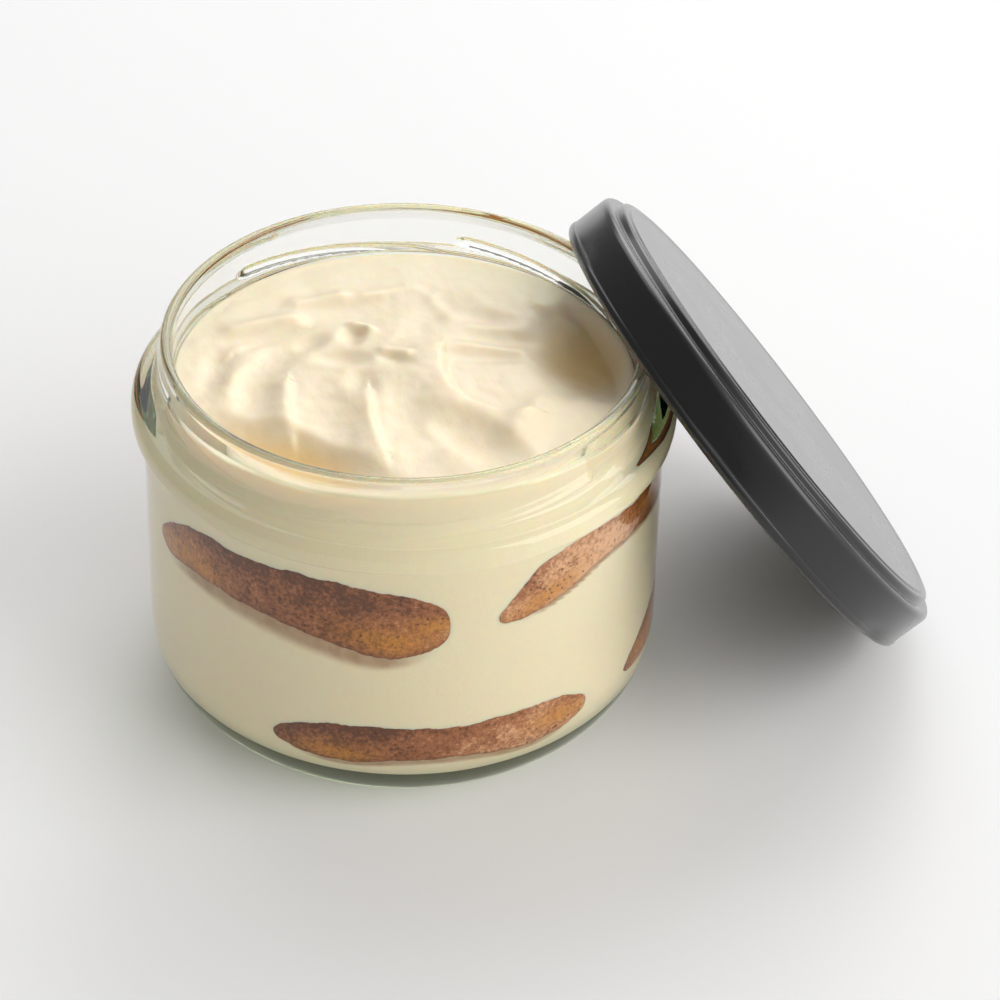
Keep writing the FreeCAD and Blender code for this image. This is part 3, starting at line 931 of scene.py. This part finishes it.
@dataclass
class CreamFill:
    """The cream: it fills the jar round the ladyfingers and is spooned level at the top."""

    shape: JarShape
    interior: Interior
    finish: CreamFinish = field(default_factory=CreamFinish)
    steps: int = 360
    into_glass: float = 0.05
    head_space: float = 7.1
    tilt: float = 2.4
    filling_side: float = -105.0
    mound: float = 1.2
    mound_radius: float = 20.0
    smear: float = 0.9
    smear_side: float = -92.0
    smear_width: float = 38.0
    crispness: float = 0.34
    edge_blend: float = 3.2
    free_from: float = 50.0
    crown_drop: float = 1.0
    soaked_from: float = 30.0
    top_spacing: float = 0.4
    side_spacing: float = 0.45
    base_spacing: float = 3.0

    @property
    def level(self) -> float:
        """Mean height of the cream at the glass."""
        return self.shape.height - self.head_space

    def plain_height(self, x: float, y: float) -> float:
        """Height of the tilted, slightly heaped level before the spoon's marks."""
        side = math.radians(self.filling_side)
        slope = (x * math.cos(side) + y * math.sin(side)) / self.shape.neck_bore
        heap = self.mound * math.exp(-(x * x + y * y) / self.mound_radius ** 2)
        return self.level + self.tilt * slope + heap

    def relief(self, x: float, y: float) -> float:
        """Height of the spoon's marks: dishes that meet in soft creases, ridges and scarps."""
        total = 1.0
        for scoop in SCOOPS:
            total += math.exp(min(40.0, -scoop.height(x, y) / self.crispness))
        cut = -self.crispness * math.log(total)
        ridges = sum(mark.height(x, y) for mark in RIDGES + SCARPS)
        lumps = 0.28 * noise.noise(Vector((x * 0.16, y * 0.16, 2.0)))
        lumps += 0.10 * noise.noise(Vector((x * 0.5, y * 0.42, 7.0)))
        return cut + ridges + lumps

    def contact(self, degrees: float) -> float:
        """Height at which the cream meets the glass, where it is smeared up a little in front."""
        angle = math.radians(degrees)
        bore = self.shape.neck_bore
        height = self.plain_height(bore * math.cos(angle), bore * math.sin(angle))
        height += self.smear * bell(turn_between(self.smear_side, degrees), self.smear_width)
        return height + 0.18 * noise.noise(Vector((degrees * 0.09, 1.0, 5.0)))

    def top_height(self, x: float, y: float, edge: float) -> float:
        """Height of the surface over a point that is so far from the glass."""
        degrees = math.degrees(math.atan2(y, x))
        near = 1.0 - smooth_step(0.0, self.edge_blend, edge)
        inner = self.plain_height(x, y) + self.relief(x, y)
        return inner + near * (self.contact(degrees) - inner)

    def soak_at(self, degrees: float, height: float) -> float:
        """How much coffee has run into the cream at a point of the glass, from 0 to 1."""
        most = 0.0
        for finger in FINGERS:
            share = finger.share(degrees)
            if not 0.0 < share < 1.0:
                continue
            lower = finger.middle_height(share) - finger.half_height(share)
            drop = lower - height
            reach = finger.soak * math.sin(math.pi * share) ** 0.8
            if -1.0 < drop < reach:
                fade = smooth_step(0.02, 0.2, min(share, 1.0 - share))
                most = max(most, fade * (1.0 - smooth_step(0.3 * reach, 1.15 * reach, drop)))
        return most

    def build(self, place: Matrix) -> bpy.types.Object:
        """Makes the cream as one closed mesh that reaches just into the glass.

        Its outline is turned with a flat top near the rim, the crown, whose points are then
        brought down to the spooned surface.
        """
        shape = self.shape
        crown = shape.height - self.crown_drop
        corners = shape.inside(self.into_glass)
        rim = shape.neck_bore + self.into_glass
        corners += [Corner(rim, crown), Corner(0.0, crown)]

        def spacing(point: Vector) -> float:
            if point.z > crown - 0.01:
                return self.top_spacing
            return self.side_spacing if point.z > shape.floor + 1.0 else self.base_spacing

        bm = outline_mesh(corners, False, spacing, 12)
        turn_outline(bm, self.steps)
        soak = bm.verts.layers.float.new("soak")
        # mask of the painted shade in the cream's hollows
        painted_hollow_shade = bm.verts.layers.float.new("painted_hollow_shade")
        for vert in bm.verts:
            degrees = math.degrees(math.atan2(vert.co.y, vert.co.x))
            radius = vert.co.xy.length
            if vert.co.z > crown - 1e-3:
                edge_radius = self.interior.radius(self.contact(degrees)) + self.into_glass
                wanted = radius * edge_radius / rim
                if radius > 1e-6:
                    vert.co.xy *= wanted / radius
                x, y = vert.co.xy
                vert.co.z = self.top_height(x, y, edge_radius - wanted)
                drop = self.plain_height(x, y) - vert.co.z
                # painted shade: the deeper the top lies below its plain level, the more golden
                # shade is painted on it
                vert[painted_hollow_shade] = smooth_step(0.5, 3.6, drop)
            elif vert.co.z > self.free_from:
                share = (vert.co.z - self.free_from) / (crown - self.free_from)
                vert.co.z = self.free_from + share * (self.contact(degrees) - self.free_from)
                vert.co.xy *= (self.interior.radius(vert.co.z) + self.into_glass) / radius
            if radius > self.soaked_from and vert.co.z < self.free_from:
                vert[soak] = self.soak_at(degrees, vert.co.z)
        bmesh.ops.recalc_face_normals(bm, faces=bm.faces)
        return finished(bm, "cream_fill", self.finish.build(), place, ["cream"])


# ---- cap
@dataclass
class TwistCap:
    """The pressed lug cap: skirt, shoulder, step and panel, with its curl, lugs and dents."""

    finish: LacquerFinish = field(default_factory=LacquerFinish)
    radius: float = 44.0
    height: float = 10.3
    sheet: float = 0.3
    curl: float = 1.1
    skirt_inset: float = 0.15
    shoulder_drop: float = 1.55
    shoulder_width: float = 2.8
    shoulder_round: float = 1.3
    step_width: float = 1.5
    step_drop: float = 0.3
    panel_rim: float = 0.15
    lugs: int = 6
    first_lug: float = -10.0
    lug_reach: float = 39.0
    lug_thickness: float = 1.2
    lug_round: float = 6.0
    dent: float = 0.35
    dent_width: float = 4.5
    lug_edge: float = 0.35
    steps: int = 480

    def profile(self, shift: float) -> List[Corner]:
        """Outline of the sheet from the curl to the axis, moved inwards by a shift."""
        skirt = self.radius - self.skirt_inset - shift
        shoulder = self.height - self.shoulder_drop - shift
        rim = self.height - shift
        step = self.radius - self.shoulder_width
        panel = step - self.step_width
        return [
            Corner(skirt, self.curl),
            Corner(skirt, shoulder, self.shoulder_round - shift),
            Corner(step + 0.35 - shift, shoulder - 0.12, 0.4 + shift),
            Corner(step - shift, rim - self.step_drop, 0.7 - shift),
            Corner(panel + 0.45 - shift, rim - self.step_drop, 0.4 + shift),
            Corner(panel - shift, rim, 0.7 - shift),
            Corner(panel - 1.6, rim - self.panel_rim, 2.0),
            Corner(0.0, rim - self.panel_rim),
        ]

    def lug_angles(self) -> List[float]:
        """Where the lugs stand round the cap, in degrees."""
        return [self.first_lug + number * 360.0 / self.lugs for number in range(self.lugs)]

    def dented(self, bm: bmesh.types.BMesh) -> None:
        """Presses the curl and the foot of the skirt in outside each lug."""
        for vert in bm.verts:
            low = 1.0 - smooth_step(1.6, 4.2, vert.co.z)
            radius = vert.co.xy.length
            if low <= 0.0 or radius < self.radius - 4.0 * self.curl:
                continue
            degrees = math.degrees(math.atan2(vert.co.y, vert.co.x))
            off = min(abs(turn_between(lug, degrees)) for lug in self.lug_angles())
            press = self.dent * low * bell(math.radians(off) * self.radius, self.dent_width)
            vert.co.xy *= 1.0 - press / radius

    def add_lug(self, bm: bmesh.types.BMesh, degrees: float) -> None:
        """Adds one lug: a rounded plate that reaches in from the curl."""
        centre = self.lug_reach + self.lug_round
        made = bmesh.ops.create_cone(bm, cap_ends=True, segments=48, radius1=self.lug_round,
                                     radius2=self.lug_round, depth=self.lug_thickness)
        verts = made["verts"]
        bmesh.ops.translate(bm, vec=(centre, 0.0, self.lug_thickness / 2.0), verts=verts)
        rims = [edge for vert in verts for edge in vert.link_edges
                if len(edge.link_faces) == 2 and edge.calc_face_angle() > 1.0]
        rims = list(dict.fromkeys(rims))
        before = set(bm.verts) - set(verts)
        bmesh.ops.bevel(bm, geom=rims, offset=self.lug_edge, segments=3, profile=0.5,
                        affect="EDGES", material=-1)
        verts = [vert for vert in bm.verts if vert not in before]
        inner = self.radius - self.curl
        for vert in verts:
            radius = vert.co.xy.length
            if radius > inner:
                vert.co.xy *= inner / radius
        turn = Matrix.Rotation(math.radians(degrees), 3, "Z")
        bmesh.ops.rotate(bm, cent=(0, 0, 0), matrix=turn, verts=verts)

    def build(self, place: Matrix) -> bpy.types.Object:
        """Makes the cap, one mesh of closed forms, with its axes at a place in the frame."""
        sheet = self.profile(0.0) + self.profile(self.sheet)[::-1]
        bm = outline_mesh(sheet, True, lambda point: 1.2 if point.x > 36.0 else 4.0, 6)
        turn_outline(bm, self.steps)
        curl = bmesh.new()
        bmesh.ops.create_circle(curl, cap_ends=False, segments=20, radius=self.curl)
        upright = Matrix.Rotation(math.radians(90.0), 3, "X")
        bmesh.ops.rotate(curl, cent=(0, 0, 0), matrix=upright, verts=curl.verts)
        bmesh.ops.translate(curl, vec=(self.radius - self.curl, 0.0, self.curl), verts=curl.verts)
        turn_outline(curl, self.steps)
        holder = bpy.data.meshes.new("curl")
        curl.to_mesh(holder)
        curl.free()
        bm.from_mesh(holder)
        bpy.data.meshes.remove(holder)
        self.dented(bm)
        for degrees in self.lug_angles():
            self.add_lug(bm, degrees)
        return finished(bm, "cap_shell", self.finish.build(), place, ["lid"])


@dataclass
class CapSeal:
    """The ring of sealing compound, as the CAD has it, and what it says of the cap's lean."""

    finish: SealFinish = field(default_factory=SealFinish)
    radius: float = 39.1
    thickness: float = 0.8
    top: float = 9.85

    def dress(self, seal: bpy.types.Object) -> None:
        """Gives the CAD ring its finish."""
        seal.data.materials.clear()
        seal.data.materials.append(self.finish.build())

    def cap_place(self) -> Matrix:
        """Where the cap's own axes lie, worked out from the box of the leaning ring."""
        low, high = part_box("lid_seal")
        size = (high - low) / MM
        wide = 2.0 * self.radius
        share = wide ** 2 - self.thickness ** 2
        cosine = (wide * size.x - self.thickness * size.z) / share
        sine = (wide * size.z - self.thickness * size.x) / share
        middle = (low + high) / 2.0 / MM
        centre = self.top - self.thickness / 2.0
        origin = middle - centre * Vector((sine, 0.0, cosine))
        turn = Matrix.Rotation(math.atan2(sine, cosine), 4, "Y")
        return Matrix.Translation(origin * MM) @ turn


# ---- studio
@dataclass(frozen=True)
class Softbox:
    """A square area lamp that looks at the object."""

    name: str
    azimuth: float
    elevation: float
    distance: float
    size: float
    power: float

    def build(self, aim: Vector) -> None:
        """Hangs the lamp round a point."""
        turn, rise = math.radians(self.azimuth), math.radians(self.elevation)
        flat = math.cos(rise)
        way = Vector((flat * math.cos(turn), flat * math.sin(turn), math.sin(rise)))
        lamp = bpy.data.lights.new(self.name, "AREA")
        lamp.shape, lamp.size, lamp.energy = "SQUARE", self.size, self.power
        holder = new_object(self.name, lamp)
        holder.location = aim + way * self.distance
        holder.rotation_euler = (-way).to_track_quat("-Z", "Y").to_euler()


@dataclass
class Studio:
    """Plain pale floor, soft lamps, a soft surround and the camera."""

    camera_place: Vector = field(default_factory=lambda: Vector((-0.11089, -0.33328, 0.30464)))
    camera_aim: Vector = field(default_factory=lambda: Vector((-0.00809, -0.00458, 0.0320)))
    camera_roll: float = 2.15
    lens: float = 96.96
    sensor: float = 36.0
    floor_half: float = 4.0
    glow_way: Tuple[float, float, float] = (0.583, -0.694, 0.423)
    glow_from: Tuple[float, float] = (0.35, 0.95)
    glow_strength: Tuple[float, float] = (0.27, 0.95)
    glow_tint: Colour = (1.0, 0.99, 0.975)
    aim: Tuple[float, float, float] = (0.0, 0.0, 0.03)
    lamps: Tuple[Softbox, ...] = (
        Softbox("right_key", -35.0, 33.0, 2.3, 1.8, 27.0),
        Softbox("back_right", 50.0, 30.0, 2.3, 1.8, 23.0),
        Softbox("back_top", 80.0, 45.0, 2.3, 1.8, 14.0),
    )

    def camera(self) -> None:
        """Sets the camera, rolled a little as it looks down on the jar."""
        data = bpy.data.cameras.new("camera")
        data.lens, data.sensor_width, data.clip_start = self.lens, self.sensor, 0.01
        holder = new_object("camera", data)
        way = (self.camera_aim - self.camera_place).normalized()
        turn = Quaternion(way, math.radians(-self.camera_roll)) @ way.to_track_quat("-Z", "Y")
        holder.location = self.camera_place
        holder.rotation_mode = "QUATERNION"
        holder.rotation_quaternion = turn
        bpy.context.scene.camera = holder

    def floor(self) -> None:
        """Lays the floor."""
        bm = bmesh.new()
        bmesh.ops.create_grid(bm, x_segments=1, y_segments=1, size=self.floor_half)
        floor = new_object("studio_floor", new_mesh("studio_floor", bm, FloorFinish().build()))

    def surround(self) -> None:
        """Dim light from all round, with a soft glow in front on the right."""
        graph = Graph("surround", world=True)
        facing = graph.node("VectorMath")
        facing.operation = "DOT_PRODUCT"
        graph.feed(facing.inputs[0], graph.node("TexCoord").outputs["Generated"])
        graph.feed(facing.inputs[1], self.glow_way)
        glow = graph.remap(facing.outputs["Value"], *self.glow_from, *self.glow_strength)
        sky = graph.node("Background", Color=self.glow_tint, Strength=glow)
        bpy.context.scene.world = graph.end(sky)

    def build(self) -> None:
        """Sets the whole studio and how light is traced."""
        self.camera()
        self.floor()
        self.surround()
        for lamp in self.lamps:
            lamp.build(Vector(self.aim))
        scene = bpy.context.scene
        scene.view_settings.view_transform = "Standard"
        scene.cycles.max_bounces = 10
        scene.cycles.transmission_bounces = 10
        scene.cycles.transparent_max_bounces = 12
        scene.cycles.diffuse_bounces = 3
        scene.cycles.glossy_bounces = 4


def main() -> None:
    """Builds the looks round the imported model, piece by piece."""
    logging.basicConfig(level=logging.INFO, format="%(name)s %(message)s")
    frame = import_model()
    low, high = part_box("jar_glass")
    axis = (low + high) / 2.0
    jar_place = Matrix.Translation(Vector((axis.x, axis.y, low.z)))
    shape = JarShape()
    interior = Interior(shape)
    JarGlass(shape).build(jar_place)
    CreamFill(shape, interior).build(jar_place)
    sponge = LadyfingerFinish().build()
    for finger in FINGERS:
        Ladyfinger(finger, interior, sponge).build(jar_place)
    seal = CapSeal()
    TwistCap().build(seal.cap_place())
    seal.dress(frame["nodes"]["lid_seal"])
    Studio().build()


if __name__ == "__main__":
    main()
